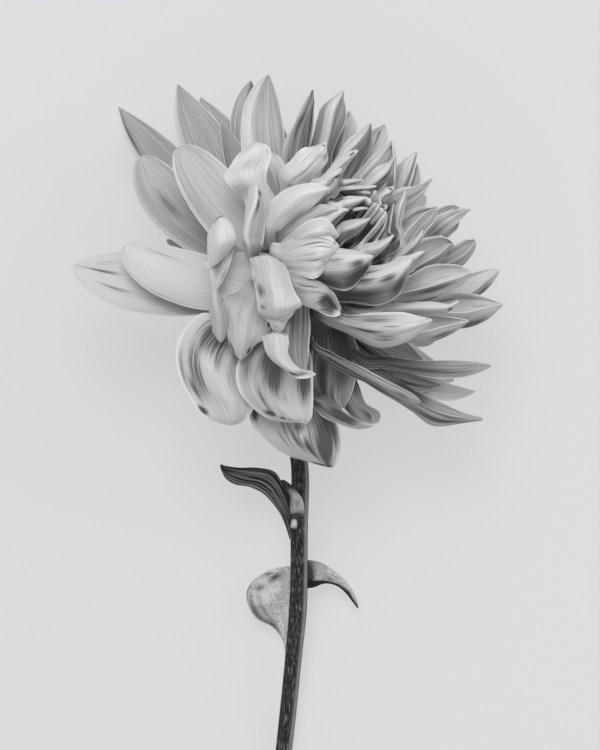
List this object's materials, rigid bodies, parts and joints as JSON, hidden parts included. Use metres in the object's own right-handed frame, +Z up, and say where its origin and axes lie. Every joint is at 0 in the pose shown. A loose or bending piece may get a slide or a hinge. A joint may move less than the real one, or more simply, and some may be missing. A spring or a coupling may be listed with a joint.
{
  "type": "decorative dahlia flower",
  "caption": "Full dahlia bloom with a fan of broad outer petals and boat-shaped inner petals on a leafy cut stem, lying on its side.",
  "frame": {"origin": "middle of the object's box seen from above, on the surface that it lies on", "axes": "+Z up from the surface, +Y from the cut end of the stem towards the flower head, +X to the right seen from above with the head at the top"},
  "size_m": [0.1434, 0.2585, 0.1094],
  "materials": {
    "petal": "satin",
    "young_floret": "satin",
    "calyx": "satin",
    "stem": "satin",
    "leaf": "satin",
    "leaf_back": "matte"
  },
  "bodies": {
    "root": {"bloom": "petal", "eye_florets": "young_floret", "calyx": "calyx", "stem": "stem", "upper_leaf": "leaf", "lower_leaf": "leaf_back"}
  },
  "joints": []
}
